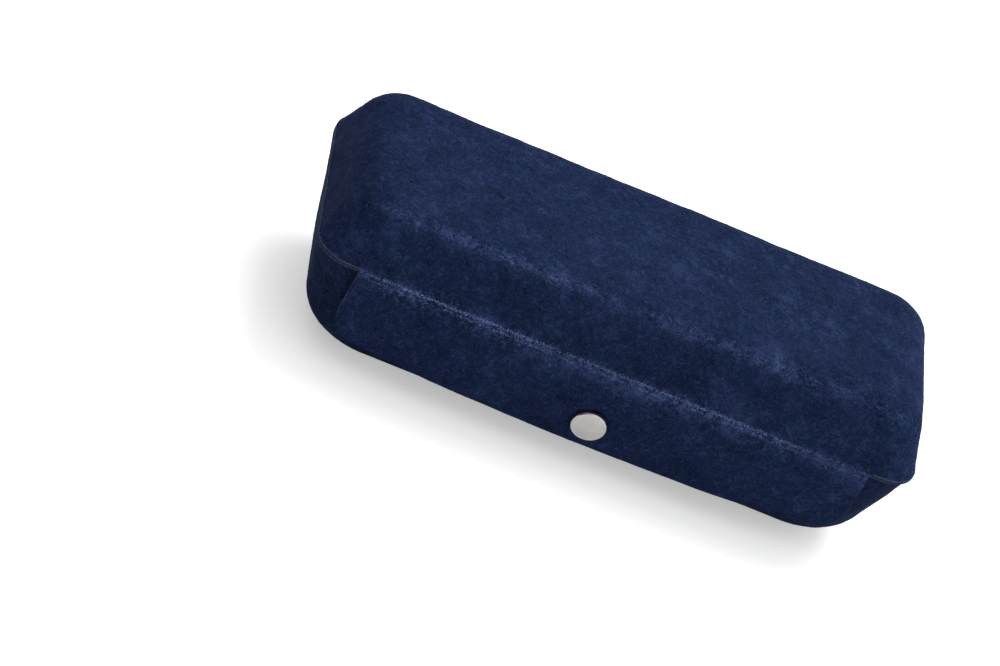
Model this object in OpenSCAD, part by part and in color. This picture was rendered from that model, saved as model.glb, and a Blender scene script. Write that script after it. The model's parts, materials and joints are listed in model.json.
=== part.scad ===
// Hard eyeglasses case of moulded felt: a tray, a domed lid on a felt hinge, and a front
// flap closed by a snap. Millimetres. The base rests on z = 0, X runs along the case and
// the flap faces -Y.

/* [Case] */
// length over the rims
case_len = 170; // [160:1:180]
// width over the rims, without the flap
case_w = 66; // [62:1:72]
// corner radius of both rims seen from above
rim_r = 9.3; // [7:0.1:12]
// height of the straight pressed band along each rim
rim_band = 1.5; // [1.4:0.1:2.5]
// gap between the two rims when closed
rim_gap = 0.3; // [0.2:0.05:0.5]

/* [Tray] */
// height of the tray, base to rim
tray_h = 33; // [31:0.5:37]
// rounding radius between the base and the walls
tray_edge_r = 15.5; // [14:0.5:18]
// how far the end walls lean in
tray_end_in = 4.4; // [3:0.1:6]
// how far the long walls lean in
tray_side_in = 3.1; // [2.6:0.1:4]
// how far the front rim stands back to make room for the flap
front_setback = 1.5; // [1.4:0.1:2.2]

/* [Lid] */
// height of the lid above the parting plane
lid_h = 18.7; // [16:0.1:22]
// rounding radius between the top and the walls
lid_edge_r = 10.8; // [8:0.1:12]
// how far the end walls lean in
lid_end_in = 2.6; // [2:0.1:4]
// how far the long walls lean in
lid_side_in = 1.4; // [1:0.1:3]

/* [Felt] */
// thickness of the outer felt in the tray and the lid
felt_t = 1.5; // [1.2:0.1:1.8]
// thickness of the lining in the tray and the lid
lining_t = 0.8; // [0.5:0.1:1]
// thickness of the outer felt where it is pressed thin to bend
press_felt_t = 0.7; // [0.5:0.05:0.8]
// thickness of the lining where it is pressed thin to bend
press_lining_t = 0.4; // [0.3:0.05:0.45]

/* [Rear hinge] */
// length of the felt hinge
hinge_len = 146; // [120:1:150]
// how far the folded hinge stands out behind the rim
hinge_out = 1.2; // [0.8:0.1:2]

/* [Flap] */
// distance from each end of the case to the flap
flap_end_gap = 12.6; // [10:0.1:20]
// drop of the flap below the rim, at its middle
flap_drop = 25.7; // [24.5:0.1:26.5]
// radius of the two lower corners
flap_corner_r = 10; // [7:0.5:12]
// how far the long lower edge rises from its middle to the corners
flap_rise = 2; // [0.5:0.1:3]
// thickness of the flap's outer felt
flap_felt_t = 1.3; // [1:0.1:1.3]
// thickness of the flap's lining
flap_lining_t = 0.7; // [0.5:0.1:0.7]
// radius of the outward bow of the flap
bow_r = 47; // [46:0.5:50]
// depth below the rim at which the flap bows out furthest
bow_at = 10.8; // [10:0.1:12]
// how far the pressed crease reaches below the rim
crease_drop = 2.7; // [2.4:0.1:3.5]

/* [Snap] */
// diameter of the cap
cap_d = 9.6; // [9.4:0.1:11]
// how far the cap stands out of the flap
cap_h = 1.1; // [1:0.05:1.5]
// depth of the snap's centre below the rim
snap_drop = 17.2; // [16.5:0.1:17.5]
// downward tilt of the snap's axis
snap_tilt = 8; // [7:0.5:9]

/* [Hidden] */

felt_col = [0.15, 0.20, 0.31];
lining_col = [0.25, 0.27, 0.31];
metal_col = [0.68, 0.67, 0.66];

front = -case_w / 2;                  // outer face of the lid's front rim
back = case_w / 2;                    // outer face of both rear rims
lid_z = tray_h + rim_gap;             // underside of the lid's rim
top_z = tray_h + lid_h;
wall_t = felt_t + lining_t;

// the two fold lines, both along X; each leaf stops fold_gap short of its own
hinge_y = back + hinge_out;
fold_gap = 0.05;
crease_y = front - 0.1;               // the crease folds at its outer face
crease_z = tray_h - 0.65;

// the flap's bow: its centre line runs along X
flap_len = case_len - 2 * flap_end_gap;
flap_t = flap_felt_t + flap_lining_t;
bow_y = front + sqrt(pow(bow_r, 2) - pow(bow_at, 2));
bow_z = tray_h - bow_at;

// the snap's axis: z = 0 of its own frame is the flap's outer face, +z points into the tray
snap_z = tray_h - snap_drop;
snap_y = bow_y - sqrt(pow(bow_r, 2) - pow(snap_drop - bow_at, 2));
cap_r = cap_d / 2;
cap_skin = 0.35;
cap_press = 0.35;                     // how far the cap is pressed into the felt
barrel_r = 1.2;
running = 0.05;                       // clearance around each rivet barrel
flange_r = 4.3;
flange_t = 0.4;
socket_r = 4.5;
socket_back = flap_felt_t - 0.1;      // the socket passes the lining and is pressed into the felt
socket_front = 3.7;
socket_wall = 0.9;
lip_r = 2.35;
lip_t = 0.45;
wire_r = 0.28;
head_r = 2.2;
neck_r = 1.75;
stud_tip = 2.15;
stud_seat = 4.2;                      // back of the stud's flange, pressed into the felt
stud_flange_t = 0.45;
rivet_seat = 5.95;                    // inside face of the laminate under the stud's rivet

edge_steps = 8;                       // straight pieces in each half of the flap's lower edge
shell_fn = 32;
fold_fn = 180;
snap_fn = 48;

// half a ball, with a vertex on its pole so that a flat hull face touches it exactly
module dome(r)
    rotate_extrude($fn = shell_fn)
        intersection() {
            circle(r, $fn = shell_fn);
            square(r);
        }

// the space inside the tray's outer face moved inwards by off, carried up past the rim by up
module tray_space(off, up)
    hull()
        for (sx = [-1, 1]) {
            for (y = [front + front_setback + rim_r, back - rim_r])
                translate([sx * (case_len / 2 - rim_r), y, tray_h - rim_band])
                    cylinder(r = rim_r - off, h = rim_band + up, $fn = shell_fn);
            for (sy = [-1, 1])
                translate([sx * (case_len / 2 - tray_end_in - tray_edge_r),
                    sy * (case_w / 2 - tray_side_in - tray_edge_r), tray_edge_r])
                    mirror([0, 0, 1]) dome(tray_edge_r - off);
        }

// the same for the lid, carried down past its rim by down
module lid_space(off, down)
    hull()
        for (sx = [-1, 1], sy = [-1, 1]) {
            translate([sx * (case_len / 2 - rim_r), sy * (case_w / 2 - rim_r), lid_z - down])
                cylinder(r = rim_r - off, h = rim_band + down, $fn = shell_fn);
            translate([sx * (case_len / 2 - lid_end_in - lid_edge_r),
                sy * (case_w / 2 - lid_side_in - lid_edge_r), top_z - lid_edge_r])
                dome(lid_edge_r - off);
        }

module on_snap_axis()
    translate([0, snap_y, snap_z]) rotate([snap_tilt - 90, 0, 0]) children();

// a disc or hole on the snap's axis, from depth a to depth b
module snap_disc(r, a, b)
    on_snap_axis() translate([0, 0, a]) cylinder(r = r, h = b - a, $fn = snap_fn);

// a strip along X, from (y0, z0) to (y1, z1)
module strip(len, y0, z0, y1, z1)
    translate([-len / 2, y0, z0]) cube([len, y1 - y0, z1 - z0]);

module tray_felt()
    color(felt_col)
        difference() {
            tray_space(0, 0);
            tray_space(felt_t, 1);
            snap_disc(flange_r + 0.3, 2.4, stud_seat);
            snap_disc(barrel_r + running, 2.4, 8);
        }

module tray_lining()
    color(lining_col)
        difference() {
            tray_space(felt_t, 0);
            tray_space(wall_t, 1);
            snap_disc(barrel_r + running, 2.4, 8);
            snap_disc(flange_r + 0.1, rivet_seat, 9);
        }

module lid_felt()
    color(felt_col)
        difference() {
            lid_space(0, 0);
            lid_space(felt_t, 1);
        }

module lid_lining()
    color(lining_col)
        difference() {
            lid_space(felt_t, 0);
            lid_space(wall_t, 1);
        }

// rear hinge: the leaves lie on each other when closed, lining to lining
module hinge_lower_lining()
    color(lining_col)
        strip(hinge_len, back, tray_h - press_lining_t, hinge_y - fold_gap, tray_h);

module hinge_lower_felt()
    color(felt_col)
        strip(hinge_len, back, tray_h - press_lining_t - press_felt_t,
            hinge_y - fold_gap, tray_h - press_lining_t);

module hinge_upper_lining()
    color(lining_col)
        strip(hinge_len, back, lid_z, hinge_y - fold_gap, lid_z + press_lining_t);

module hinge_upper_felt()
    color(felt_col)
        strip(hinge_len, back, lid_z + press_lining_t,
            hinge_y - fold_gap, lid_z + press_lining_t + press_felt_t);

// front crease: the lid's leaf ends at the fold line and the flap's leaf begins there
module crease_upper_felt()
    color(felt_col)
        strip(flap_len, crease_y, crease_z + fold_gap, crease_y + press_felt_t, lid_z);

module crease_upper_lining()
    color(lining_col)
        strip(flap_len, crease_y + press_felt_t, crease_z + fold_gap,
            crease_y + press_felt_t + press_lining_t, lid_z);

module crease_lower_felt()
    color(felt_col)
        strip(flap_len, crease_y, tray_h - crease_drop,
            crease_y + press_felt_t, crease_z - fold_gap);

module crease_lower_lining()
    color(lining_col)
        strip(flap_len, crease_y + press_felt_t, tray_h - crease_drop,
            crease_y + press_felt_t + press_lining_t, crease_z - fold_gap);

// outline of the flap as seen from the front, x to the right and y up from the rim
module flap_outline() {
    inner = flap_len / 2 - flap_corner_r;
    side = flap_drop - flap_rise - flap_corner_r;
    translate([-flap_len / 2, -side]) square([flap_len, side - crease_drop]);
    polygon(concat([[inner, -crease_drop], [-inner, -crease_drop]],
        [for (i = [-edge_steps:edge_steps])
            [inner * i / edge_steps, flap_rise * pow(i / edge_steps, 2) - flap_drop]]));
    for (sx = [-1, 1])
        translate([sx * inner, -side]) circle(flap_corner_r, $fn = 64);
}

// one ply of the bowed flap, between two depths below its outer face
module flap_ply(outer, inner)
    intersection() {
        translate([-flap_len, bow_y, bow_z]) rotate([0, 90, 0])
            difference() {
                cylinder(r = bow_r - outer, h = 2 * flap_len, $fn = fold_fn);
                translate([0, 0, -1])
                    cylinder(r = bow_r - inner, h = 2 * flap_len + 2, $fn = fold_fn);
            }
        translate([0, front + 8, tray_h]) rotate([90, 0, 0])
            linear_extrude(20) flap_outline();
    }

module flap_felt()
    color(felt_col)
        difference() {
            flap_ply(0, flap_felt_t);
            snap_disc(cap_r + running, -2, cap_press);
            snap_disc(barrel_r + running, -1, 4);
            snap_disc(socket_r + 0.1, socket_back, 4);
        }

module flap_lining()
    color(lining_col)
        difference() {
            flap_ply(flap_felt_t, flap_t);
            snap_disc(socket_r + 0.1, socket_back - 1, 4);
        }

// snap cap: a flat disc with a rounded edge, hollow behind
module snap_cap()
    color(metal_col)
        on_snap_axis()
            rotate_extrude($fn = snap_fn)
                difference() {
                    union() {
                        translate([0, -cap_h]) square([cap_r - 0.6, cap_h]);
                        translate([0, 0.6 - cap_h])
                            square([cap_r, cap_h + cap_press - 0.6]);
                        translate([cap_r - 0.6, 0.6 - cap_h]) circle(0.6, $fn = 32);
                    }
                    translate([-1, cap_skin - cap_h])
                        square([1 + cap_r - cap_skin, cap_h + 1]);
                    translate([-1, -cap_h - 1]) square([1, cap_h + 2]);
                }

// rivet through the flap: flange under the cap, barrel, and a rolled end in the socket
module cap_rivet()
    color(metal_col)
        on_snap_axis()
            rotate_extrude($fn = snap_fn)
                polygon([[0, cap_press - flange_t], [flange_r, cap_press - flange_t],
                    [flange_r, cap_press], [barrel_r, cap_press],
                    [barrel_r, socket_back + flange_t + 0.02],
                    [barrel_r + 0.7, socket_back + flange_t + 0.02],
                    [barrel_r + 0.5, socket_back + flange_t + 0.22],
                    [0, socket_back + flange_t + 0.22]]);

// socket: a shallow ring channel open towards the tray
module snap_socket()
    color(metal_col)
        on_snap_axis()
            rotate_extrude($fn = snap_fn)
                polygon([[barrel_r + running, socket_back], [socket_r, socket_back],
                    [socket_r, socket_front - 0.3], [socket_r - 0.3, socket_front],
                    [lip_r, socket_front], [lip_r, socket_front - lip_t],
                    [socket_r - socket_wall, socket_front - lip_t],
                    [socket_r - socket_wall, socket_back + flange_t],
                    [barrel_r + running, socket_back + flange_t]]);

// split wire ring that lies behind the socket's lip and grips the stud's neck
module socket_spring()
    color(metal_col)
        on_snap_axis()
            translate([0, 0, socket_front - lip_t - wire_r])
                difference() {
                    rotate_extrude($fn = snap_fn)
                        translate([lip_r, 0]) circle(wire_r, $fn = 24);
                    translate([0, -0.5, -1]) cube([4, 1, 2]);
                }

// stud: flange pressed into the tray's felt, neck, and a wider head; hollow from behind
module snap_stud()
    color(metal_col)
        on_snap_axis()
            rotate_extrude($fn = snap_fn)
                polygon([[0, stud_tip], [head_r - 0.4, stud_tip], [head_r, stud_tip + 0.25],
                    [neck_r, stud_tip + 0.55], [neck_r, stud_seat - stud_flange_t],
                    [flange_r + 0.1, stud_seat - stud_flange_t], [flange_r + 0.1, stud_seat],
                    [barrel_r + running, stud_seat], [barrel_r + running, stud_tip + 0.5],
                    [0, stud_tip + 0.5]]);

// rivet through the tray's wall from the inside, held in the hollow stud
module stud_rivet()
    color(metal_col)
        on_snap_axis()
            rotate_extrude($fn = snap_fn)
                polygon([[0, stud_tip + 0.52], [barrel_r, stud_tip + 0.52], [barrel_r, rivet_seat],
                    [flange_r, rivet_seat], [flange_r, rivet_seat + 0.2],
                    [flange_r - 0.2, rivet_seat + flange_t], [0, rivet_seat + flange_t]]);

tray_felt();
tray_lining();
hinge_lower_felt();
hinge_lower_lining();
snap_stud();
stud_rivet();
lid_felt();
lid_lining();
hinge_upper_felt();
hinge_upper_lining();
crease_upper_felt();
crease_upper_lining();
crease_lower_felt();
crease_lower_lining();
flap_felt();
flap_lining();
snap_cap();
cap_rivet();
snap_socket();
socket_spring();
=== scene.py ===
import json
import math

import bmesh
import bpy
import numpy as np
from mathutils import Matrix, Vector


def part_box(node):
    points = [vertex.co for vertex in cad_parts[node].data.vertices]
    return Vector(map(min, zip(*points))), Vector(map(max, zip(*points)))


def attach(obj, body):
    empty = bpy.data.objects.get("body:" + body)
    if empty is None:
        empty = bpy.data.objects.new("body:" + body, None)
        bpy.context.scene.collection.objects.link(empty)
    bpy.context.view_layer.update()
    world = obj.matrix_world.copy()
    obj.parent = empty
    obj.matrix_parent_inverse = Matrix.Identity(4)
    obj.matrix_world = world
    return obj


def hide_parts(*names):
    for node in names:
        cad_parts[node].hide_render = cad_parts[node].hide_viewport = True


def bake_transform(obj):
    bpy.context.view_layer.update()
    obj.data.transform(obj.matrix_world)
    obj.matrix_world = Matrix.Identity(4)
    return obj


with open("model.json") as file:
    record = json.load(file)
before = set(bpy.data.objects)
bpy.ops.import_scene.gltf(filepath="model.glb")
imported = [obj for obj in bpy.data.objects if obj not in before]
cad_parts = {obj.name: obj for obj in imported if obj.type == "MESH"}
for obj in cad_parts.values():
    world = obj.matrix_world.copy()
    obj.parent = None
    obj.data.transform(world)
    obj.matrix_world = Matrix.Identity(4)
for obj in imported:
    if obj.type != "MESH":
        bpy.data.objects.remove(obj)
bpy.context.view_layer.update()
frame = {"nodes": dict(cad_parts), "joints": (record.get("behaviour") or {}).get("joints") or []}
MM = 0.001


def box_mm(node):
    """Lowest and highest corners of a CAD node, in millimetres."""
    lo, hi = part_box(node)
    return np.array(lo) / MM, np.array(hi) / MM


# ---------------------------------------------------------------- places read from the frame
lid_lo, lid_hi = box_mm("lid_felt")
tray_lo, tray_hi = box_mm("tray_felt")
flap_lo, flap_hi = box_mm("flap_felt")
cap_lo, cap_hi = box_mm("snap_cap")
joints = {j["name"]: np.array(j["pos_m"]) / MM for j in frame["joints"]}
HINGE, FOLD = joints["lid_hinge"], joints["flap_fold"]

HALF_LEN = lid_hi[0]
FRONT, BACK = lid_lo[1], lid_hi[1]
MID_Y = (FRONT + BACK) / 2
RIM_LID, TOP = lid_lo[2], lid_hi[2]
RIM_TRAY, FOOT = tray_hi[2], tray_lo[2]
SETBACK = tray_lo[1] - FRONT                     # of the tray's front wall, behind the lid's
FELT_T = lid_hi[0] - box_mm("lid_lining")[1][0]
LINING_T = 0.8
WALL_T = FELT_T + LINING_T
RIM_R = 9.3                                      # corner radius of both rims, seen from above
FLAP_HALF = flap_hi[0]
FLAP_DROP = RIM_TRAY - flap_lo[2]
FOLD_HALF = box_mm("hinge_lower_felt")[1][0]     # half length of the rear fold
CAP_R = (cap_hi[0] - cap_lo[0]) / 2
SNAP_TILT = math.radians(8)                      # the front walls lean back by this much at the snap
SNAP_AXIS = np.array([0.0, math.cos(SNAP_TILT), math.sin(SNAP_TILT)])
SNAP_P = (cap_lo + cap_hi) / 2 + SNAP_AXIS * 0.375     # where the snap's axis meets the flap's outer face


# ---------------------------------------------------------------- small helpers
def smooth(t):
    t = np.clip(t, 0.0, 1.0)
    return t * t * (3 - 2 * t)


def waves(seed, count, shortest, longest):
    """A smooth, seeded, random field over space: a sum of plane waves, about -1 to 1."""
    rng = np.random.default_rng(seed)
    k = rng.normal(size=(count, 3))
    k /= np.linalg.norm(k, axis=1)[:, None]
    k *= 2 * np.pi / rng.uniform(shortest, longest, count)[:, None]
    phase = rng.uniform(0, 2 * np.pi, count)
    return lambda p: np.sin(np.asarray(p, float) @ k.T + phase).sum(-1) / math.sqrt(count)


def new_mesh(name, verts, faces, mats, index=None):
    """A smooth mesh object from millimetre vertices."""
    me = bpy.data.meshes.new(name)
    me.from_pydata((np.asarray(verts) * MM).tolist(), [], [list(map(int, f)) for f in faces])
    for m in mats:
        me.materials.append(m)
    me.polygons.foreach_set("use_smooth", [True] * len(me.polygons))
    if index is not None:
        me.polygons.foreach_set("material_index", [int(i) for i in index])
    me.update()
    ob = bpy.data.objects.new(name, me)
    bpy.context.scene.collection.objects.link(ob)
    return ob


def paint(ob, wear_and_highlight, fleck_and_glint, shade):
    """Three values from 0 to 1 at each vertex, read by the felt's material: rubbed felt with painted
    highlights, flecks with painted glints, and painted shade.
    """
    for name, values in (("wear_and_highlight", wear_and_highlight), ("fleck_and_glint", fleck_and_glint), ("shade", shade)):
        a = ob.data.attributes.new(name, "FLOAT", "POINT")
        a.data.foreach_set("value", np.asarray(np.clip(values, 0, 1), np.float32))


def bell(distance, width, power=2):
    """1 at no distance, falling smoothly to nothing past the width."""
    return np.exp(-((distance / width) ** power))


def along_x(field, x):
    """A field's values that depend on x alone."""
    return field(np.stack([x, 0 * x, 0 * x], -1))


def strip_faces(rows, n, closed=True, start=0):
    """Quads between successive rows of n points each."""
    out = []
    for k in range(rows - 1):
        a, b = start + k * n, start + (k + 1) * n
        for i in range(n if closed else n - 1):
            j = (i + 1) % n
            out.append((a + i, a + j, b + j, b + i))
    return out


# ---------------------------------------------------------------- the tray's and the lid's shells
N_LONG, N_SHORT, N_CORNER = 96, 30, 10           # points on each side and corner of a ring
N_RING = 2 * N_LONG + 2 * N_SHORT + 4 * N_CORNER
N_WALL, N_ARC, N_FILL = 9, 16, 12                # rows of the wall, of the round edge and of the flat middle
BAND, BAND_ROWS = 0.9, 7                         # height of the felt's cut edge, and rows on it
LIP = 0.42                                       # step from the cut edge back to the wall


def ring(half_x, y_front, y_back, r):
    """A rounded rectangle seen from above, with the outward normal of each point."""
    r = max(r, 1e-4)
    cx, cf, cb = half_x - r, y_front + r, y_back - r
    pts, nrm = [], []

    def side(p, q, n, normal):
        for i in range(n):
            t = (i + 0.5) / n
            pts.append((p[0] + (q[0] - p[0]) * t, p[1] + (q[1] - p[1]) * t))
            nrm.append(normal)

    def corner(x, y, a0):
        for i in range(N_CORNER):
            a = math.radians(a0 + 90 * i / (N_CORNER - 1))
            pts.append((x + r * math.cos(a), y + r * math.sin(a)))
            nrm.append((math.cos(a), math.sin(a)))

    side((-cx, y_front), (cx, y_front), N_LONG, (0, -1))
    corner(cx, cf, -90)
    side((half_x, cf), (half_x, cb), N_SHORT, (1, 0))
    corner(cx, cb, 0)
    side((cx, y_back), (-cx, y_back), N_LONG, (0, 1))
    corner(-cx, cb, 90)
    side((-half_x, cb), (-half_x, cf), N_SHORT, (-1, 0))
    corner(-cx, cf, 180)
    return np.array(pts), np.array(nrm)


def tangent(start_in, start_u, mid_in, mid_u, radius):
    """Lean from vertical of a wall that starts at one point and runs on into a circle."""
    d_in, d_u = mid_in - start_in, mid_u - start_u
    up = math.atan2(d_u, d_in) + math.asin(radius / math.hypot(d_in, d_u))
    return math.pi / 2 - up


def profile(height, edge_r, in_x, in_y, soft_wall, soft_base, off, band, crown):
    """Rows of a domed shell from its rim to its pole, where u is the distance from the rim's plane:
    (inset x, u x, inset y, u y, corner radius, share of setback).
    With a band, the rim starts with the felt's upright cut edge, which the wall steps back from.
    The corners soften by soft_wall, and by soft_base towards the pole."""
    r = edge_r - off
    mid_u = height - edge_r
    starts = [(off, 0.0)]
    if band:
        starts = [(0.0, u) for u in (0.0, 0.15, 0.3, 0.46, 0.62, band - 0.14, band - 0.04)]
        starts += [(0.05, band + 0.04), (0.18, band + 0.15), (LIP, band + 0.36), (LIP + 0.1, band + 0.75)]
    rows = [(inset, u, inset, u, RIM_R - inset, 1.0) for inset, u in starts]
    s_in, s_u = starts[-1]
    lean_x = tangent(s_in, s_u, in_x + edge_r, mid_u, r)
    lean_y = tangent(s_in, s_u, in_y + edge_r, mid_u, r)
    end_x = (in_x + edge_r - r * math.cos(lean_x), mid_u + r * math.sin(lean_x))
    end_y = (in_y + edge_r - r * math.cos(lean_y), mid_u + r * math.sin(lean_y))
    for i in range(1, N_WALL + 1):
        t = i / N_WALL
        rows.append((s_in + (end_x[0] - s_in) * t, s_u + (end_x[1] - s_u) * t,
                     s_in + (end_y[0] - s_in) * t, s_u + (end_y[1] - s_u) * t,
                     (RIM_R - s_in) * (1 - t) + (r * math.cos(lean_y) + soft_wall) * t, 1 - t))
    for i in range(1, N_ARC + 1):
        ax = lean_x + (math.pi / 2 - lean_x) * i / N_ARC
        ay = lean_y + (math.pi / 2 - lean_y) * i / N_ARC
        rows.append((in_x + edge_r - r * math.cos(ax), mid_u + r * math.sin(ax),
                     in_y + edge_r - r * math.cos(ay), mid_u + r * math.sin(ay),
                     r * math.cos(ay) + soft_wall + (soft_base - soft_wall) * math.sin(ay) ** 2, 0.0))
    return rows, crown


def shell_surface(skin, z_rim, sign, setback):
    """Vertices (rows x N_RING x 3) of one face of a shell, from its rim to its middle."""
    rows, crown = skin
    out = []
    for ix, ux, iy, uy, rc, share in rows:
        p, n = ring(HALF_LEN - ix, FRONT + iy + setback * share, BACK - iy, rc)
        w = n[:, 0] ** 2
        u = ux * w + uy * (1 - w)
        out.append(np.column_stack([p, z_rim + sign * u]))
    ix, ux, iy, uy, rc, _ = rows[-1]
    hx, hy = HALF_LEN - ix, (BACK - FRONT) / 2 - iy
    for i in range(1, N_FILL + 1):
        t = min(i / N_FILL, 0.999)
        p, _ = ring(hx - t * hy, MID_Y - hy * (1 - t), MID_Y + hy * (1 - t), rc * (1 - t))
        u = uy + crown * (1 - (1 - t) ** 2)
        out.append(np.column_stack([p, np.full(len(p), z_rim + sign * u)]))
    return np.array(out)


def close_middle(rows_total, start):
    """Faces that join the last ring's front half to its back half."""
    a = start + (rows_total - 1) * N_RING
    faces = []
    front = list(range(N_LONG))
    back = [N_LONG + N_CORNER + N_SHORT + N_CORNER + i for i in range(N_LONG)]
    for i in range(N_LONG - 1):
        faces.append((a + front[i], a + front[i + 1], a + back[N_LONG - 2 - i], a + back[N_LONG - 1 - i]))
    right = list(range(N_LONG - 1, N_LONG + 2 * N_CORNER + N_SHORT + 1))
    faces.append([a + i for i in right])
    left = list(range(N_LONG + 2 * N_CORNER + N_SHORT + N_LONG - 1, N_RING)) + [0]
    faces.append([a + i for i in left])
    return faces


def shell(name, outer, inner, place, mats, bumps=None, plain=None):
    """A closed shell between two skins. Its cut edge takes the last material, except where plain(point) holds.
    place is (height of the rim, 1 for a shell that rises from it or -1 for one that hangs, setback).
    Returns the object and the outer surface's number of rows."""
    so = shell_surface(outer, *place)
    si = shell_surface(inner, *place)
    if bumps:
        so = bumps(so)
    ko, ki = len(so), len(si)
    verts = np.concatenate([so.reshape(-1, 3), si.reshape(-1, 3)])
    base = ko * N_RING
    fo = strip_faces(ko, N_RING) + close_middle(ko, 0)
    fi = strip_faces(ki, N_RING, start=base) + close_middle(ki, base)
    rim = [(i, (i + 1) % N_RING, base + (i + 1) % N_RING, base + i) for i in range(N_RING)]
    if place[1] > 0:
        fi = [f[::-1] for f in fi]
        rim = [f[::-1] for f in rim]
    else:
        fo = [f[::-1] for f in fo]
    cut = len(mats) - 1
    in_band = [max(f) < (BAND_ROWS + 1) * N_RING and not (plain and plain(verts[f[0]])) for f in fo]
    index = [cut if b else 0 for b in in_band] + [0] * len(fi) + [cut] * len(rim)
    ob = new_mesh(name, verts, fo + fi + rim, mats, index)
    return ob, ko


# ---------------------------------------------------------------- materials
class Nodes:
    """A few short forms for building a material's node tree."""

    def __init__(self, name):
        self.mat = bpy.data.materials.new(name)
        self.mat.use_nodes = True
        self.t = self.mat.node_tree
        self.bsdf = self.t.nodes["Principled BSDF"]

    def link(self, value, socket):
        if hasattr(value, "is_output"):
            self.t.links.new(value, socket)
        elif value is not None:
            socket.default_value = value

    def node(self, kind, **inputs):
        n = self.t.nodes.new(kind)
        for k, v in inputs.items():
            self.link(v, n.inputs[k])
        return n

    def math(self, op, a, b=None, clamp=False):
        n = self.t.nodes.new("ShaderNodeMath")
        n.operation, n.use_clamp = op, clamp
        self.link(a, n.inputs[0])
        if b is not None:
            self.link(b, n.inputs[1])
        return n.outputs[0]

    def ramp(self, value, lo, hi, a=0.0, b=1.0):
        """Smooth step of value from lo to hi, as a to b."""
        n = self.t.nodes.new("ShaderNodeMapRange")
        n.interpolation_type = "SMOOTHSTEP"
        for i, v in enumerate((value, lo, hi, a, b)):
            self.link(v, n.inputs[i])
        return n.outputs[0]

    def mix(self, fac, a, b, mode="MIX"):
        n = self.t.nodes.new("ShaderNodeMix")
        n.data_type, n.blend_type = "RGBA", mode
        self.link(fac, n.inputs[0])
        self.link(a if hasattr(a, "is_output") else (*a, 1.0), n.inputs[6])
        self.link(b if hasattr(b, "is_output") else (*b, 1.0), n.inputs[7])
        return n.outputs[2]

    def place(self, scale=1000.0):
        """Object coordinates, in millimetres by default."""
        c = self.t.nodes.new("ShaderNodeTexCoord").outputs["Object"]
        return self.vec("SCALE", c, scale=scale)

    def vec(self, op, a, b=None, scale=None):
        n = self.t.nodes.new("ShaderNodeVectorMath")
        n.operation = op
        self.link(a, n.inputs[0])
        if b is not None:
            self.link(b, n.inputs[1])
        if scale is not None:
            self.link(scale, n.inputs["Scale"])
        return n.outputs[0]

    def noise(self, vector, scale, detail=2.0, rough=0.5, out="Fac"):
        n = self.t.nodes.new("ShaderNodeTexNoise")
        self.link(vector, n.inputs["Vector"])
        n.inputs["Scale"].default_value = scale
        n.inputs["Detail"].default_value = detail
        n.inputs["Roughness"].default_value = rough
        return n.outputs[out]

    def turned(self, vector, direction, along, across, shift):
        """The vector with direction turned onto its x, then stretched, so that noise gives strokes."""
        q = Vector(direction).to_track_quat("X", "Z").inverted().to_euler()
        m = self.t.nodes.new("ShaderNodeMapping")
        m.vector_type = "POINT"
        self.link(vector, m.inputs["Vector"])
        m.inputs["Rotation"].default_value = q
        s = self.t.nodes.new("ShaderNodeVectorMath")
        s.operation = "MULTIPLY_ADD"
        self.link(m.outputs[0], s.inputs[0])
        s.inputs[1].default_value = (along, across, across)
        s.inputs[2].default_value = (shift, shift * 1.7, shift * 0.3)
        return s.outputs[0]

    def attribute(self, name):
        n = self.t.nodes.new("ShaderNodeAttribute")
        n.attribute_name = name
        return n.outputs["Fac"]

    def weighed(self, start, *parts):
        """start plus (value - middle) * gain for each part (value, middle, gain)."""
        total = start
        for value, middle, gain in parts:
            total = self.math("ADD", total, self.math("MULTIPLY", self.math("SUBTRACT", value, middle), gain))
        return total

    def finish(self, colour, rough, specular, height, strength, depth_mm):
        """Links the colour, the roughness and a bump to the shader."""
        self.link(colour, self.bsdf.inputs["Base Color"])
        self.link(rough, self.bsdf.inputs["Roughness"])
        self.bsdf.inputs["Specular IOR Level"].default_value = specular
        bump = self.node("ShaderNodeBump", Strength=strength, Distance=depth_mm * MM, Height=height)
        self.link(bump.outputs[0], self.bsdf.inputs["Normal"])
        return self.mat

    def sheen(self, weight, rough, tint=(1, 1, 1)):
        self.bsdf.inputs["Sheen Weight"].default_value = weight
        self.bsdf.inputs["Sheen Roughness"].default_value = rough
        self.bsdf.inputs["Sheen Tint"].default_value = (*tint, 1.0)


def times(colour, gain):
    return [c * gain for c in colour]


GOLD = (1 + 5 ** 0.5) / 2
# the axes of an icosahedron, which spread evenly, and one near the case's length
STROKE_AXES = [(0, 1, GOLD), (0, 1, -GOLD), (1, GOLD, 0), (1, -GOLD, 0), (GOLD, 0, 1), (-GOLD, 0, 1)]
STROKE_AXES.append((1, 0.15, 0.1))
FELT_TONES = ((0.0, (0.0020, 0.0050, 0.0170)), (0.45, (0.0068, 0.0148, 0.0480)),
              (0.75, (0.0155, 0.0275, 0.0800)), (1.0, (0.035, 0.053, 0.135)))
FELT_STROKE, FELT_PIT = (0.052, 0.073, 0.170), (0.0035, 0.0060, 0.0170)
# pale rubbed felt that also paints highlights, pale specks that also paint glints, and a painted shade
FELT_RUB_HIGHLIGHT, FELT_SPECK_GLINT, FELT_SHADE = (0.066, 0.098, 0.245), (0.34, 0.46, 0.90), (0.0012, 0.0016, 0.0030)
FELT_SHEEN = (0.3, 0.42, 0.9)
COOL, WARM = (0.88, 1.05, 1.0), (1.11, 0.95, 1.02)


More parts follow.
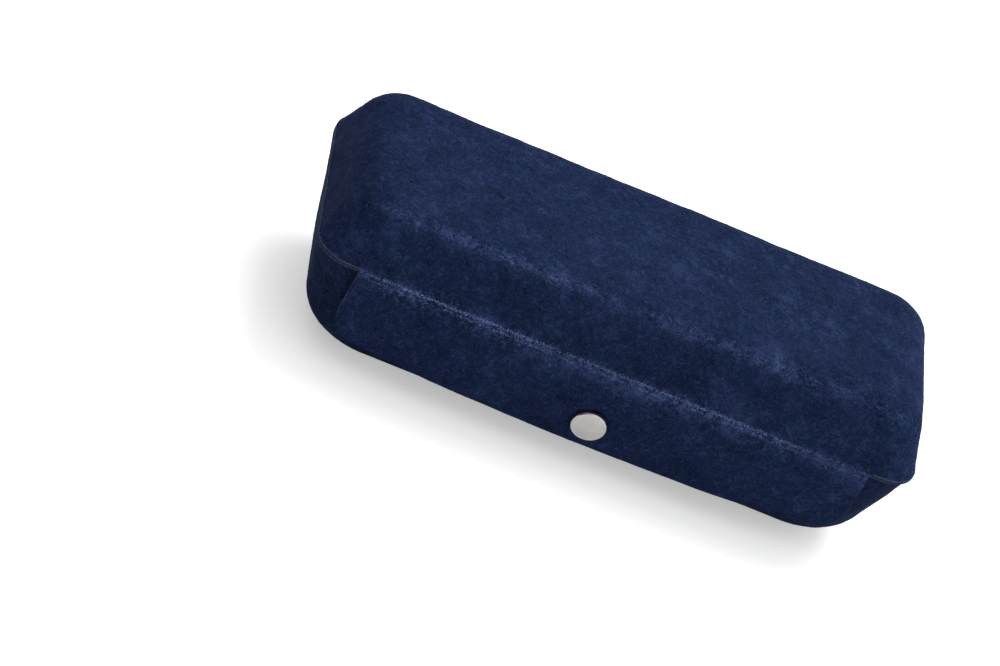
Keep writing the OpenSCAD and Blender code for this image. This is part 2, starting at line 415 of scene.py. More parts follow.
def felt(name, tint=1.0, relief=1.0):
    """Pressed felt: a mottled ground with short curved strokes of fibre in every direction, paler and flecked
    where it is rubbed and where highlights and glints are painted, and darker where shade is painted."""
    n = Nodes(name)
    p = n.place()
    bend = n.vec("SUBTRACT", n.noise(p, 0.36, 1.5, 0.5, "Color"), (0.5, 0.5, 0.5))
    q = n.vec("ADD", p, n.vec("SCALE", bend, scale=4.5))

    # strokes: the brightest one at each point, and the sum of all for the ground and the bump
    strokes, lines = None, None
    for i, axis in enumerate(STROKE_AXES):
        f = n.noise(n.turned(q, axis, 0.36, 1.9, 7.3 * i + 1.0), 1.0, 1.0, 0.5)
        gate = n.ramp(n.noise(p, 0.3 + 0.03 * i, 1.0), 0.40, 0.68, 0.10, 1.0)
        s = n.math("MULTIPLY", n.ramp(f, 0.60, 0.72), gate)
        c = n.math("SUBTRACT", f, 0.5)
        strokes = s if strokes is None else n.math("MAXIMUM", strokes, s)
        lines = c if lines is None else n.math("ADD", lines, c)

    # ground
    fine = n.noise(q, 4.2, 2.0, 0.6)
    tone = n.weighed(0.46, (lines, 0.0, 0.16), (n.noise(q, 1.0, 1.5, 0.5), 0.5, 0.40),
                     (n.noise(q, 0.36, 1.5, 0.5), 0.5, 0.66), (n.noise(p, 0.11, 1.5, 0.5), 0.5, 0.68),
                     (fine, 0.5, 0.04))
    ramp = n.t.nodes.new("ShaderNodeValToRGB")
    ramp.color_ramp.interpolation = "EASE"
    while len(ramp.color_ramp.elements) < len(FELT_TONES):
        ramp.color_ramp.elements.new(0.5)
    for e, (at, c) in zip(ramp.color_ramp.elements, FELT_TONES):
        e.position, e.color = at, (*times(c, tint), 1.0)
    n.link(tone, ramp.inputs[0])
    hue = n.mix(n.ramp(n.noise(p, 0.24, 1.5, 0.6), 0.35, 0.65), COOL, WARM)
    colour = n.mix(1.0, ramp.outputs[0], hue, "MULTIPLY")
    colour = n.mix(n.math("MULTIPLY", strokes, 0.27, clamp=True), colour, times(FELT_STROKE, tint))
    pits = n.ramp(n.noise(q, 1.7, 1.0, 0.5), 0.66, 0.74)
    colour = n.mix(n.math("MULTIPLY", pits, 0.6), colour, times(FELT_PIT, tint))

    # rubbed places with painted highlights, flecks with painted glints, and painted shade
    raised = n.math("ADD", n.math("MULTIPLY", strokes, 0.7), n.math("MULTIPLY", n.ramp(tone, 0.3, 0.75), 0.6))
    colour = n.mix(n.math("MULTIPLY", n.attribute("wear_and_highlight"), raised, clamp=True), colour, FELT_RUB_HIGHLIGHT)
    specks = n.ramp(n.noise(q, 2.5, 1.0, 0.5), 0.56, 0.68)
    hairs = n.ramp(n.noise(n.vec("MULTIPLY", q, (1.7, 3.4, 3.4)), 1.0, 1.0), 0.58, 0.70)
    # pale fibre specks, bright enough to paint glints too
    speck_and_glint = n.math("MULTIPLY", n.attribute("fleck_and_glint"), n.math("MAXIMUM", specks, hairs), clamp=True)
    colour = n.mix(speck_and_glint, colour, FELT_SPECK_GLINT)
    colour = n.mix(n.attribute("shade"), colour, FELT_SHADE)

    n.sheen(0.05, 0.3, FELT_SHEEN)
    height = n.weighed(0.0, (lines, 0.0, 0.10), (strokes, 0.0, 0.06), (tone, 0.0, 0.30))
    return n.finish(colour, n.ramp(fine, 0.2, 0.8, 0.85, 1.0), 0.03, height, 0.16 * relief, 0.9)


def cut_edge(name, base, pale):
    """The cut face of the pressed felt: flattened layers of fibre, paler along its corners, where a highlight
    line is painted over rubbed fibre.
    """
    n = Nodes(name)
    p = n.place()
    layers = n.noise(n.vec("MULTIPLY", p, (0.5, 0.5, 5.5)), 1.0, 3.0, 0.6)
    fuzz = n.noise(p, 3.2, 3.0, 0.65)
    f = n.math("ADD", n.math("MULTIPLY", layers, 0.6), n.math("MULTIPLY", fuzz, 0.4))
    colour = n.mix(n.ramp(f, 0.3, 0.68), times(base, 0.5), base)
    corners = n.math("MULTIPLY", n.attribute("wear_and_highlight"), n.ramp(fuzz, 0.35, 0.65), clamp=True)
    colour = n.mix(corners, colour, pale)
    return n.finish(colour, n.ramp(fuzz, 0.2, 0.8, 0.7, 0.95), 0.04, f, 0.6, 0.25)


def lining_cloth(name, dark, mid):
    """Thin brushed lining: a short nap that lies in changing directions, in dull and pale patches."""
    n = Nodes(name)
    p = n.place()
    wobble = n.vec("ADD", p, n.vec("SCALE", n.noise(p, 0.25, 1.0, 0.5, "Color"), scale=3.0))
    strokes = n.noise(n.turned(wobble, (1, 0.5, 0.4), 0.7, 3.2, 2.0), 1.0, 2.0, 0.6)
    crossing = n.noise(n.turned(wobble, (-0.3, 1, 0.8), 0.7, 2.8, 9.0), 1.0, 2.0, 0.6)
    nap = n.math("MULTIPLY", n.math("ADD", strokes, crossing), 0.5)
    cloud = n.noise(wobble, 0.07, 3.0, 0.6)
    pills = n.ramp(n.noise(p, 1.1, 1.0), 0.68, 0.78)
    f = n.math("ADD", n.math("MULTIPLY", nap, 0.9), n.math("MULTIPLY", cloud, 0.5))
    colour = n.mix(n.ramp(f, 0.48, 0.92), dark, mid)
    colour = n.mix(n.math("MULTIPLY", pills, 0.5), colour, times(mid, 1.5))
    n.sheen(0.25, 0.4)
    return n.finish(colour, n.ramp(nap, 0.3, 0.7, 0.85, 1.0), 0.12, f, 0.7, 0.4)


def plated(name, base, rough):
    """Satin metal with fine marks, duller patches and small dark pits."""
    n = Nodes(name)
    p = n.place()
    fine = n.noise(n.vec("MULTIPLY", p, (9.0, 9.0, 1.6)), 1.0, 3.0, 0.6)
    cloud = n.noise(p, 0.5, 3.0, 0.6)
    pits = n.ramp(n.noise(p, 3.0, 1.0), 0.73, 0.8)
    colour = n.mix(n.ramp(cloud, 0.3, 0.75), times(base, 0.93), base)
    colour = n.mix(n.math("MULTIPLY", pits, 0.5), colour, times(base, 0.35))
    n.bsdf.inputs["Metallic"].default_value = 1.0
    marks = n.math("ADD", n.math("MULTIPLY", fine, 0.6), n.math("MULTIPLY", cloud, 0.4))
    return n.finish(colour, n.ramp(marks, 0.3, 0.7, rough - 0.06, rough + 0.08), 0.5, fine, 0.25, 0.02)


def fibre(name, colour):
    n = Nodes(name)
    n.link(n.mix(n.ramp(n.noise(n.place(), 0.9, 2.0, 0.6), 0.3, 0.7), times(colour, 0.55), colour),
           n.bsdf.inputs["Base Color"])
    n.bsdf.inputs["Roughness"].default_value = 1.0
    n.bsdf.inputs["Specular IOR Level"].default_value = 0.0
    return n.mat


FELT = felt("navy_felt")
# the tray's felt: the lid's felt painted darker (tint 0.76) as painted shade, with a softer bump
FELT_TRAY_SHADED = felt("navy_felt_pressed_shaded", tint=0.76, relief=0.7)
EDGE = cut_edge("cut_edge", (0.0270, 0.0360, 0.0700), (0.150, 0.170, 0.290))
LINING = lining_cloth("lining_cloth", (0.014, 0.017, 0.024), (0.052, 0.059, 0.078))
NICKEL = plated("nickel_satin", (0.74, 0.73, 0.69), 0.33)
NICKEL_DULL = plated("nickel_dull", (0.50, 0.49, 0.47), 0.42)
WIRE = plated("spring_wire", (0.58, 0.56, 0.52), 0.25)
FIBRE = fibre("loose_fibre", (0.056, 0.080, 0.185))
FIBRE_PALE_LIT = fibre("loose_fibre_pale_lit", (0.42, 0.55, 0.98))


# ---------------------------------------------------------------- shells
# edge_r is the round edge next to the flat middle, whose outline is set in by in_x and in_y from the rim
LID_FORM = dict(height=TOP - RIM_LID, edge_r=10.8, in_x=2.6, in_y=1.4, soft_wall=1.6, soft_base=1.6)
TRAY_FORM = dict(height=RIM_TRAY - FOOT, edge_r=15.5, in_x=4.4, in_y=3.1, soft_wall=0.0, soft_base=7.0)
DENT = np.array([0.47 * HALF_LEN, FRONT + 7.6, TOP - 2.2])     # a knock on the lid's front ridge
FRONT_EDGE = 2.05                                # height over which the lid's front edge has no cut band
soft = waves(11, 26, 11.0, 42.0)
small = waves(12, 30, 4.0, 11.0)
rub_and_highlight_waves = waves(5, 12, 9, 60)


def rub_and_highlight_stretches(x):
    """How strongly the raised edges are rubbed, and their painted highlights and glints show, at x, from 0 to
    1.
    """
    return np.clip(0.55 + 0.6 * along_x(rub_and_highlight_waves, x), 0, 1)


def lid_skin(off, crown, band=0):
    return profile(**LID_FORM, off=off, band=band, crown=crown)


def tray_skin(off, band=0):
    return profile(**TRAY_FORM, off=off, band=band, crown=0.0)


def grid_normals(g, flip):
    """Unit normals of a grid of points whose columns close into rings."""
    du = np.roll(g, -1, 1) - np.roll(g, 1, 1)
    dv = np.gradient(g, axis=0)
    n = np.cross(du, dv)
    n /= np.maximum(np.linalg.norm(n, axis=2), 1e-9)[..., None]
    return -n if flip else n


def lid_bumps(g):
    """The pressed felt's unevenness, a plain edge where the flap goes on, and a dent on the front ridge."""
    x, y, z = g[..., 0], g[..., 1], g[..., 2]
    u = z - RIM_LID
    front = smooth((FLAP_HALF + 0.6 - np.abs(x)) / 1.2) * (y < FRONT + 2.2) * (u < 2.6)
    wall_in = 0.52 * np.clip(u / FRONT_EDGE, 0, 1) ** 1.2 + 0.05 * (1 - smooth(u / 0.4))
    g = g.copy()
    g[..., 1] = np.where(u < FRONT_EDGE, y + (FRONT + wall_in - y) * front, y)
    away = smooth((u - 2.5) / 6.0)
    top = smooth((z - TOP + 3.0) / 3.0)
    lump = (0.13 * soft(g) + 0.05 * small(g)) * (0.8 + 0.4 * top)
    r = np.linalg.norm(g - DENT, axis=2)
    lump = lump - 0.22 * bell(r, 3.2) + 0.10 * bell(r - 4.6, 1.8)
    return g + grid_normals(g, False) * (lump * away)[..., None]


def tray_bumps(g):
    """Unevenness that fades towards the rim and the foot, and a pressed seat for the snap."""
    x, y, z = g[..., 0], g[..., 1], g[..., 2]
    away = smooth((RIM_TRAY - z - 2.2) / 6.0)
    ground = smooth((z - 1.0) / 5.0)
    lump = (0.12 * soft(g) + 0.04 * small(g)) * away * ground
    seat = bell(np.hypot(x, z - SNAP_P[2] - 0.5), 5.6, 4) * (y < 0)
    return g + grid_normals(g, True) * (lump * (1 - seat) - 0.5 * seat)[..., None]


def under_crease(point):
    """Whether a point of the lid lies on the crease, where no cut edge shows."""
    return point[1] < FRONT + 2 and abs(point[0]) < FLAP_HALF + 0.4


LID_PLACE, TRAY_PLACE = (RIM_LID, 1, 0.0), (RIM_TRAY, -1, SETBACK)
BOND = 0.03                                      # keeps the lining's outer face clear of the felt's inner face
lid, lid_rows = shell("lid_felt_shell", lid_skin(0, 0.35, BAND), lid_skin(FELT_T, 0.3), LID_PLACE,
                      [FELT, EDGE], lid_bumps, under_crease)
tray, tray_rows = shell("tray_felt_shell", tray_skin(0, BAND), tray_skin(FELT_T), TRAY_PLACE,
                        [FELT_TRAY_SHADED, EDGE], tray_bumps)
lid_lining, _ = shell("lid_lining_shell", lid_skin(FELT_T + BOND, 0.27), lid_skin(WALL_T, 0.2),
                      LID_PLACE, [LINING])
tray_lining, _ = shell("tray_lining_shell", tray_skin(FELT_T + BOND), tray_skin(WALL_T), TRAY_PLACE, [LINING])
for body, felt_shell, lining_shell in (("lid", lid, lid_lining), ("tray", tray, tray_lining)):
    for piece, kind, slot_name in ((felt_shell, "felt", "navy_felt"), (lining_shell, "lining", "lining")):
        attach(piece, body)
        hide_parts(f"{body}_{kind}")


def paint_shell(ob, rows, is_lid):
    """Where the felt is rubbed and where highlights and glints are painted on it: a thin line over the cut rim,
    the lid's front ridge, and the crease.
    """
    co = np.array([v.co for v in ob.data.vertices]) / MM
    outer = np.arange(len(co)) // N_RING < rows
    x, y, z = co.T
    u = (z - RIM_LID) if is_lid else (RIM_TRAY - z)
    patch = rub_and_highlight_stretches(x)
    wear_and_highlight, fleck_and_glint = 0.04 + 0 * x, 0.02 + 0 * x
    flap_part = smooth((FLAP_HALF + 0.5 - np.abs(x)) / 1.0) * (y < FRONT + 1.6)
    # a thin painted highlight line along the top of the cut band, where its rounded edge catches the light
    wear_and_highlight += 0.8 * bell(u - BAND - 0.02, 0.13) * (1 - flap_part)
    if is_lid:
        # the lid's front ridge: a painted highlight where its round edge leans about 57° towards the light,
        # over paler rubbed fibre
        rise, inset = z - (TOP - LID_FORM["edge_r"]), FRONT + LID_FORM["in_y"] + LID_FORM["edge_r"] - y
        lean = np.degrees(np.arctan2(rise, np.maximum(inset, 0.01)))
        on_front = smooth((FRONT + 13.5 - y) / 1.5) * smooth((0.97 * HALF_LEN - np.abs(x)) / 14)
        ridge = bell(lean - 57, 9) * on_front
        wear_and_highlight += 0.58 * ridge * (0.65 + 0.35 * patch)
        fleck_and_glint += 0.10 * ridge * patch ** 2
        # the dent: a paler rubbed ring and a patch of painted glints
        r = np.linalg.norm(co - DENT, axis=1)
        wear_and_highlight += 0.14 * bell(r - 3.0, 1.4)
        fleck_and_glint += 0.12 * bell(r, 2.6)
        # the crease: a painted highlight band and painted glints over pale rubbed fibre
        wear_and_highlight += 0.58 * bell(u, 1.5) * (0.6 + 0.4 * patch) * flap_part
        fleck_and_glint += 0.70 * bell(u - 0.1, 0.45) * (0.3 + 0.7 * patch) * flap_part
    paint(ob, wear_and_highlight * outer, fleck_and_glint * outer, 0 * x)


paint_shell(lid, lid_rows, True)
paint_shell(tray, tray_rows, False)


# ---------------------------------------------------------------- the flap
BOW_R, BOW_AT = 47.0, 10.8                       # the flap bows out on this radius, furthest at this depth
BOW_Y = FRONT + math.sqrt(BOW_R ** 2 - BOW_AT ** 2)
CORNER_R, RISE = 10.0, 2.0                       # lower corners, and the lower edge's rise towards them
H_TOP = RIM_TRAY - RIM_LID                       # depths h are below the tray's rim, and this one is the crease
INNER = FLAP_HALF - CORNER_R
SIDE = FLAP_DROP - RISE - CORNER_R
ROLL = 0.55                                      # width of the rolled border
CAP_SEAT = 5.35                                  # radius of the shaded seat under the cap


def cap_distance(x, h):
    return np.hypot(x, h - (RIM_TRAY - SNAP_P[2]))


def flap_face(x, h):
    """y of the flap's outer face at x and at depth h, before its edges are rounded."""
    mid = BOW_Y - np.sqrt(BOW_R ** 2 - (h - BOW_AT) ** 2)
    end = FRONT - 0.22 * bell(h - 5.5, 4.5) + 0.022 * h + 0.0145 * np.maximum(h - 12, 0) ** 2 - 0.05
    w = smooth((np.abs(x) / FLAP_HALF - 0.42) / 0.58)
    y = mid * (1 - w) + end * w + 0.05 * (1 - smooth((h - H_TOP) / 0.4))
    ripple = 0.10 * soft(np.stack([x, 0 * x, h * 1.3], -1)) + 0.04 * small(np.stack([x, 0 * x + 9, h], -1))
    r = cap_distance(x, h)
    press = 0.30 * bell(r, 6.4, 6) + 0.15 * bell(r, 5.3, 16)
    return y + ripple * smooth((h - 1.0) / 5.0) * (1 - bell(r, 7.5, 4)) + press


def flap_low(x):
    """Depth of the flap's lower edge at x."""
    low = FLAP_DROP - RISE * (x / INNER) ** 2
    past = np.abs(x) - INNER
    return np.where(past > 0, SIDE + np.sqrt(np.maximum(CORNER_R ** 2 - past ** 2, 0)), low)


def flap_grid():
    """x and h of the flap's points: columns follow x, rows run down to the rounded outline."""
    border = FLAP_HALF - np.array([0.0, 0.1, 0.24, 0.42, 0.65, 0.95, 1.35, 1.9, 2.7, 3.7, 4.9, 6.3, 8.0])
    xs = np.concatenate([-border, np.linspace(-INNER, INNER, 86), border[::-1]])
    first = [0, 0.15, 0.3, 0.5, 0.7, 0.9, 1.1, 1.3, 1.6, 2.0, 2.6]
    last = np.array([0.95, 0.62, 0.36, 0.16, 0.0])
    rows = 19
    cols = []
    for length in flap_low(xs) - H_TOP:
        body = np.linspace(first[-1], length - last[0], rows)[1:-1]
        cols.append(np.concatenate([first, body, length - last]) + H_TOP)
    h = np.array(cols).T
    return np.broadcast_to(xs, h.shape).copy(), h


def edge_distance(x, h):
    """Distance from a point of the flap to its outline."""
    ax = np.abs(x)
    d = np.minimum(FLAP_HALF - ax, FLAP_DROP - RISE * (x / INNER) ** 2 - h)
    corner = (ax > INNER) & (h > SIDE)
    return np.maximum(np.where(corner, CORNER_R - np.hypot(ax - INNER, h - SIDE), d), 0)


def flap_sheet(name, depth_a, depth_b, mats, roll_a, roll_b):
    """A closed sheet of the flap between two shares of its thickness. Its sides take the last material."""
    x, h = flap_grid()
    d = edge_distance(x, h)
    y = flap_face(x, h)
    thick = 1.1 + 0.9 * smooth((h - 0.3) / 6.5)
    roll = 1 - smooth(d / ROLL)
    ya = y + depth_a * thick + roll_a * roll * ROLL
    yb = y + depth_b * thick - roll_b * roll * 0.4
    verts = np.concatenate([np.stack([x, side_y, RIM_TRAY - h], -1).reshape(-1, 3) for side_y in (ya, yb)])
    m, c = x.shape
    off = m * c
    fa = strip_faces(m, c, closed=False)
    fb = [tuple(i + off for i in f[::-1]) for f in fa]
    loop = [(0, i) for i in range(c)] + [(j, c - 1) for j in range(1, m)]
    loop += [(m - 1, i) for i in range(c - 2, -1, -1)] + [(j, 0) for j in range(m - 2, 0, -1)]
    ids = [j * c + i for j, i in loop]
    sides = [(a, b, b + off, a + off) for a, b in zip(ids, ids[1:] + ids[:1])]
    faces = [f[::-1] for f in fa + fb] + sides
    ob = new_mesh(name, verts, faces, mats, [0] * (len(fa) + len(fb)) + [len(mats) - 1] * len(sides))

    patch = rub_and_highlight_stretches(x)
    v = h - H_TOP
    # rubbed felt with painted highlights: a thin light line along the flap's edges and a band below the crease;
    # painted glints along the crease; painted shade in the seat round the cap
    wear_and_highlight = 0.03 + 0.55 * bell(d, 0.20) + 0.88 * (1 - smooth((v - 0.6) / 5.4)) * (0.6 + 0.4 * patch)
    fleck_and_glint = 0.02 + (0.70 * bell(v + 0.1, 0.45) + 0.42 * bell(v - 1.25, 0.4)) * (0.3 + 0.7 * patch)
    shade = 0.9 * smooth((CAP_SEAT - cap_distance(x, h)) / 0.5)
    paint(ob, *(np.concatenate([a.reshape(-1), 0 * a.reshape(-1)]) for a in (wear_and_highlight, fleck_and_glint, shade)))
    return ob


flap_felt = flap_sheet("flap_felt_sheet", 0.0, 0.65, [FELT, EDGE], 1.0, 0.0)
flap_lining = flap_sheet("flap_lining_sheet", 0.66, 1.0, [LINING], 0.0, 1.0)
for piece, slot_name, kind in ((flap_felt, "navy_felt", "felt"), (flap_lining, "lining", "lining")):
    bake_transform(piece)
    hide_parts(f"flap_{kind}", f"crease_upper_{kind}", f"crease_lower_{kind}")


# ---------------------------------------------------------------- the rear fold
SQUARE_Y = BACK - 0.15                           # the strip tapers towards its ends behind this line


def arc(r, a0, a1, n):
    """(y, z) points of an arc about the fold's middle."""
    return [(FOLD_Y + r * math.cos(a), FOLD_Z + r * math.sin(a)) for a in np.radians(np.linspace(a0, a1, n))]


def mirrored(points):
    return [(y, 2 * FOLD_Z - z) for y, z in points[::-1]]


def fold_strip(kind, path, mat, half):
    """A strip along the rear rim from a closed section of (y, z) points. It tapers towards either end."""
    ends = np.linspace(half - 3, half, 9)
    xs = np.concatenate([-ends[::-1], np.linspace(3 - half, half - 3, 64)[1:-1], ends])
    y, z = np.array(path).T
    wobble = waves(31, 10, 9, 40)
    rows = []
    for x in xs:
        taper = 0.75 + 0.25 * smooth((half - abs(x)) / 2.5)
        out = np.where(y > SQUARE_Y, SQUARE_Y + (y - SQUARE_Y) * taper, y)
        out = out + 0.07 * along_x(wobble, x) * (y > BACK)
        rows.append(np.column_stack([np.full(len(y), x), out, z]))
    verts = np.concatenate(rows)
    m = len(y)
    faces = [f[::-1] for f in strip_faces(len(xs), m)]
    faces += [list(range(m)), list(range(len(verts) - m, len(verts)))[::-1]]
    ob = new_mesh(f"rear_fold_{kind}", verts, faces, [mat])
    out = np.clip((verts[:, 1] - BACK - 0.5) / 0.8, 0, 1)
    paint(ob, 0.05 + 0.22 * out, 0.10 * out ** 2, 0 * out)
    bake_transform(ob)
    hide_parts(f"hinge_lower_{kind}", f"hinge_upper_{kind}")


FOLD_Y, FOLD_Z = HINGE[1] - 0.1, HINGE[2]
leaf = [(BACK + dy, FOLD_Z - dz) for dy, dz in ((-0.62, 2.5), (-0.34, 1.85), (0.1, 1.42), (0.55, 1.2))]
tuck = [(BACK - 0.8, FOLD_Z + 1.2), (BACK - 0.5, FOLD_Z + 0.46)]
felt_path = leaf + arc(1.12, -90, 90, 15) + mirrored(leaf) + tuck + arc(0.44, 90, -90, 9) + mirrored(tuck)
tongue = [(BACK - 0.3, FOLD_Z + 0.43), (BACK - 0.3, FOLD_Z + 0.16)]
lining_path = arc(0.43, -90, 90, 9) + tongue + arc(0.12, 90, -90, 7) + mirrored(tongue)
fold_strip("felt", felt_path, FELT, FOLD_HALF)
fold_strip("lining", lining_path, LINING, FOLD_HALF - 0.5)


# ---------------------------------------------------------------- the snap
CAP_OUT, CAP_ROUND = 1.1, 0.42                   # the cap's height over the felt, and its rim's radius
TURNS = 96


def lathe(name, section, mat):
    """A body turned about the snap's axis from (radius, depth) points."""
    side = np.array([1.0, 0, 0])
    up = np.cross(side, SNAP_AXIS)
    verts = []
    for a in 2 * math.pi * np.arange(TURNS) / TURNS:
        d = side * math.cos(a) + up * math.sin(a)
        verts += [SNAP_P + d * r + SNAP_AXIS * depth for r, depth in section]
    m = len(section)
    rings = [(k * m, (k + 1) % TURNS * m) for k in range(TURNS)]
    faces = [(a + i, a + i + 1, b + i + 1, b + i) for a, b in rings for i in range(m - 1)]
    ob = new_mesh(name, verts, faces, [mat])
    bm = bmesh.new()
    bm.from_mesh(ob.data)
    bmesh.ops.remove_doubles(bm, verts=bm.verts, dist=1e-6)
    bmesh.ops.recalc_face_normals(bm, faces=bm.faces)
    bm.to_mesh(ob.data)
    bm.free()
    return ob


face = [(CAP_R * t, 0.02 + 0.08 * t ** 6 - CAP_OUT) for t in (0.0, 0.15, 0.3, 0.45, 0.6, 0.72, 0.8, 0.85)]
rim = [(CAP_R - CAP_ROUND * (1 - math.sin(a)), 0.02 - CAP_OUT + CAP_ROUND * (1 - math.cos(a)))
       for a in np.radians(range(-30, 91, 10))]
skirt = [(0, -0.4), (0.02, -0.1), (0.08, 0.12), (0.2, 0.24), (0.36, 0.24)]
inside = [(0.4, 0.0), (0.4, -0.6), (0.7, -0.9), (CAP_R, -0.95)]
below = [(CAP_R - inset, depth) for inset, depth in skirt + inside]
snap_cap = lathe("snap_cap_disc", face + rim + below, NICKEL)
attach(snap_cap, "flap")
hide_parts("snap_cap")

for node, mat in (("snap_stud", NICKEL), ("stud_rivet", NICKEL_DULL), ("cap_rivet", NICKEL_DULL),
                  ("snap_socket", NICKEL_DULL), ("socket_spring", WIRE)):
    me = frame["nodes"][node].data
    me.materials.clear()
    me.materials.append(mat)


# ---------------------------------------------------------------- loose fibres
STEPS, SIDES = 5, 3                              # rings along a thread, and points round it


def fibre_mesh(name, points, drift, length, lift, radius, curl, seed, mat):
    """Short curved threads, each a closed tube that tapers to its tip. points holds (roots, normals)."""
    roots, normals = points
    rng = np.random.default_rng(seed)
    n = len(roots)
    spin = rng.normal(size=(n, 3)) + drift
    t = spin - (spin * normals).sum(1)[:, None] * normals
    t /= np.maximum(np.linalg.norm(t, axis=1), 1e-6)[:, None]
    b = np.cross(normals, t)
    size = length[0] + (length[1] - length[0]) * rng.random(n) ** 1.5
    rise = lift[0] + (lift[1] - lift[0]) * rng.random(n) ** 2
    turn = rng.normal(size=n) * curl
    verts = np.zeros((n, STEPS, SIDES, 3))
    for k in range(STEPS):
        s = k / (STEPS - 1)
        ahead, aside = size * (s - 0.5), turn * size * (s - 0.5) ** 2
        above = rise * (0.15 + 0.85 * s ** 1.5) - 0.02
        centre = roots + t * ahead[:, None] + b * aside[:, None] + normals * above[:, None]
        w = radius * (1 - 0.75 * abs(s - 0.35) / 0.65)
        for i in range(SIDES):
            a = math.radians(90 + 360 / SIDES * i)
            verts[:, k, i] = centre + b * (w * math.cos(a)) + normals * (w * math.sin(a))
    base = (np.arange(n) * STEPS * SIDES)[:, None]
    quads = strip_faces(STEPS, SIDES)
    faces = (base[:, None, :] + np.array(quads)[None]).reshape(-1, 4).tolist()
    tip = (STEPS - 1) * SIDES
    faces += (base + np.array([2, 1, 0])).tolist() + (base + tip + np.arange(SIDES)).tolist()
    f = new_mesh(name, verts.reshape(-1, 3), faces, [mat])
    return f


def scatter(ob, count, weight, seed):
    """Seeded random points on a mesh's faces, in millimetres: (points, normals)."""
    me = ob.data
    me.calc_loop_triangles()
    co = np.array([v.co for v in me.vertices]) / MM
    tri = np.array([t.vertices[:] for t in me.loop_triangles])
    a, b, c = co[tri[:, 0]], co[tri[:, 1]], co[tri[:, 2]]
    cr = np.cross(b - a, c - a)
    area = np.linalg.norm(cr, axis=1) / 2
    nrm = cr / np.maximum(2 * area, 1e-12)[:, None]
    w = area * weight((a + b + c) / 3, nrm)
    rng = np.random.default_rng(seed)
    pick = rng.choice(len(tri), count, p=w / w.sum())
    r1, r2 = np.sqrt(rng.random(count)), rng.random(count)
    p = a[pick] * (1 - r1)[:, None] + b[pick] * (r1 * (1 - r2))[:, None] + c[pick] * (r1 * r2)[:, None]
    return p, nrm[pick]


def faces_out(centre, normal, middle_z):
    return (normal * (centre - np.array([0, 0, middle_z]))).sum(1) > 0


def on_lid(c, n):
    return faces_out(c, n, RIM_LID - 10) * (c[:, 2] > RIM_LID + 1.4)


def on_tray(c, n):
    return faces_out(c, n, RIM_TRAY + 10) * (c[:, 2] < RIM_TRAY - 1.6) * (c[:, 2] > 1.2)


def on_flap(c, n):
    return (n[:, 1] < -0.3) * (c[:, 2] < RIM_LID - 2.8) * (np.hypot(c[:, 0], c[:, 2] - SNAP_P[2]) > 5.6)


def crease_points(seed, most):
    """Points along the front crease, denser in some stretches than in others."""
    rng = np.random.default_rng(seed)
    x = rng.uniform(-FLAP_HALF + 0.3, FLAP_HALF - 0.3, most)
    density = 0.5 + 0.5 * along_x(waves(6, 10, 7, 50), x)
    x = x[rng.random(most) < 0.25 + 0.75 * density]
    dz = rng.normal(size=len(x)) * 0.30
    normals = np.tile([0, -1.0, 0.15], (len(x), 1))
    normals /= np.linalg.norm(normals, axis=1)[:, None]
    return np.column_stack([x, FRONT + 0.02 + 0.03 * np.abs(dz), RIM_LID + 0.05 + dz]), normals


for k, (ob, body, where, count, longest, lift, radius) in enumerate((
        (lid, "lid", on_lid, 3200, 2.6, (0.04, 0.22), 0.038),
        (tray, "tray", on_tray, 1500, 2.2, (0.03, 0.16), 0.032),
        (flap_felt, "flap", on_flap, 450, 2.4, (0.03, 0.20), 0.034))):
    threads = fibre_mesh(f"{body}_fibres", scatter(ob, count, where, 101 + k), 0.0, (0.8, longest), lift,
                         radius, 0.5, 201 + k, FIBRE)
    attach(threads, body)
# pale fuzz along the crease, coloured brightly enough to paint the crease's highlight too, lying a little more
# often lengthwise
fuzz = fibre_mesh("crease_fibres", crease_points(104, 1300), np.array([0.5, 0, 0]), (0.3, 1.0),
                  (0.03, 0.22), 0.036, 0.7, 204, FIBRE_PALE_LIT)
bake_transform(fuzz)


# ---------------------------------------------------------------- floor, light, camera
def backdrop(name, colour, seen_colour, glow):
    """Pale paper that the camera sees a little brighter than its light on the case would make it."""
    n = Nodes(name)
    seen = n.t.nodes.new("ShaderNodeLightPath").outputs["Is Camera Ray"]
    n.link(n.mix(seen, colour, seen_colour), n.bsdf.inputs["Base Color"])
    n.bsdf.inputs["Emission Color"].default_value = (1, 1, 1, 1)
    n.link(n.math("MULTIPLY", seen, glow), n.bsdf.inputs["Emission Strength"])
    n.bsdf.inputs["Roughness"].default_value = 0.9
    n.bsdf.inputs["Specular IOR Level"].default_value = 0.1
    return n.mat


floor_me = bpy.data.meshes.new("floor")
floor_me.from_pydata([(-4, -4, 0), (4, -4, 0), (4, 4, 0), (-4, 4, 0)], [], [(0, 1, 2, 3)])
floor = bpy.data.objects.new("floor", floor_me)
bpy.context.scene.collection.objects.link(floor)
floor_me.materials.append(backdrop("floor", (0.86, 0.86, 0.87), (0.92, 0.92, 0.92), 0.42))


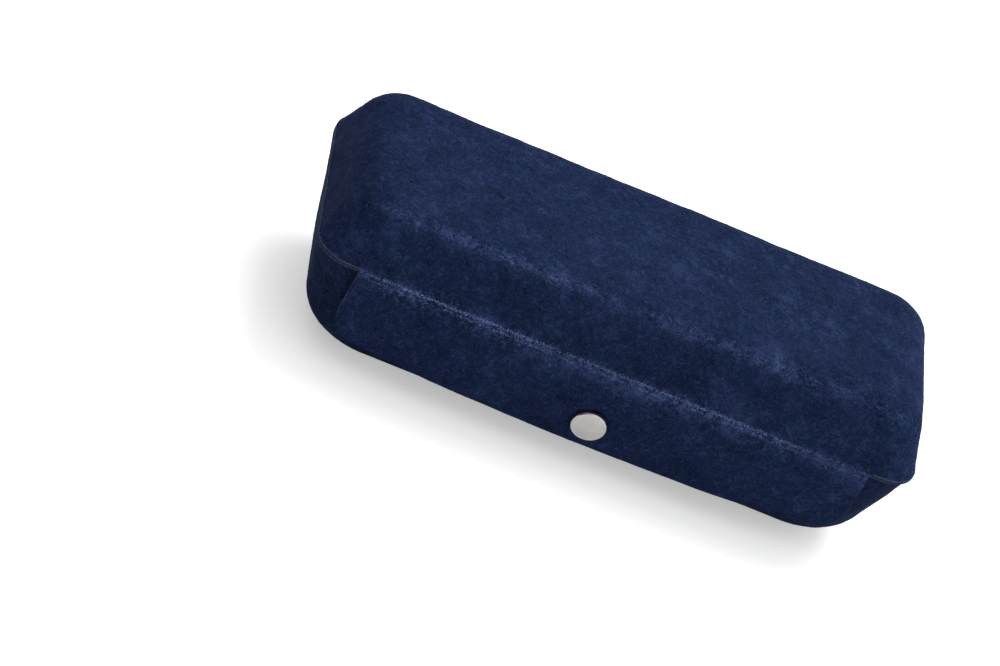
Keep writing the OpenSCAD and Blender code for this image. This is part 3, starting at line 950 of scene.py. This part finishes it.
def studio_light(towards, lo, hi, dim, bright):
    """A white surround that grows from dim to bright as a direction turns towards one side."""
    world = bpy.data.worlds.new("studio")
    world.use_nodes = True
    tree = world.node_tree
    lean = tree.nodes.new("ShaderNodeVectorMath")
    lean.operation = "DOT_PRODUCT"
    tree.links.new(tree.nodes.new("ShaderNodeTexCoord").outputs["Generated"], lean.inputs[0])
    lean.inputs[1].default_value = Vector(towards).normalized()
    fade = tree.nodes.new("ShaderNodeMapRange")
    fade.interpolation_type = "SMOOTHSTEP"
    tree.links.new(lean.outputs["Value"], fade.inputs[0])
    for socket, v in zip(fade.inputs[1:5], (lo, hi, dim, bright)):
        socket.default_value = v
    tree.nodes["Background"].inputs[0].default_value = (1, 1, 1, 1)
    tree.links.new(fade.outputs[0], tree.nodes["Background"].inputs[1])
    return world


def round_light(name, at, to, size, watts):
    light = bpy.data.lights.new(name, "AREA")
    light.shape, light.size, light.energy = "DISK", size, watts
    ob = bpy.data.objects.new(name, light)
    bpy.context.scene.collection.objects.link(ob)
    ob.location = at
    ob.rotation_euler = (Vector(to) - Vector(at)).to_track_quat("-Z", "Y").to_euler()


bpy.context.scene.world = studio_light((0.66, 0.24, 0.71), lo=-0.45, hi=0.9, dim=0.08, bright=1.13)
round_light("key", at=(0.75, 0.9, 1.9), to=(0, 0, RIM_TRAY * MM), size=1.6, watts=26)

# the camera looks from the front left and above, rolled so that the case falls to the right
CAM_AZ, CAM_EL, CAM_ROLL = (math.radians(a) for a in (12.99, 34.15, 29.27))
CAM_FAR, CAM_SHIFT_X, CAM_SHIFT_Y = 1629.2, -32.39, -8.5      # from the middle of the case, on its own axes
back = Vector((-math.sin(CAM_AZ) * math.cos(CAM_EL), -math.cos(CAM_AZ) * math.cos(CAM_EL), math.sin(CAM_EL)))
right = Matrix.Rotation(CAM_ROLL, 3, back) @ Vector((0, 0, 1)).cross(back).normalized()
up = back.cross(right)
cam_data = bpy.data.cameras.new("camera")
cam_data.sensor_width, cam_data.lens = 36.0, 223.9
cam_data.clip_start, cam_data.clip_end = 0.05, 50
camera = bpy.data.objects.new("camera", cam_data)
bpy.context.scene.collection.objects.link(camera)
place = Vector((0, 0, (RIM_TRAY + RIM_LID) / 2)) + back * CAM_FAR + right * CAM_SHIFT_X + up * CAM_SHIFT_Y
camera.matrix_world = Matrix.Translation(place * MM) @ Matrix((right, up, back)).transposed().to_4x4()
bpy.context.scene.camera = camera
bpy.context.scene.view_settings.view_transform = "Standard"
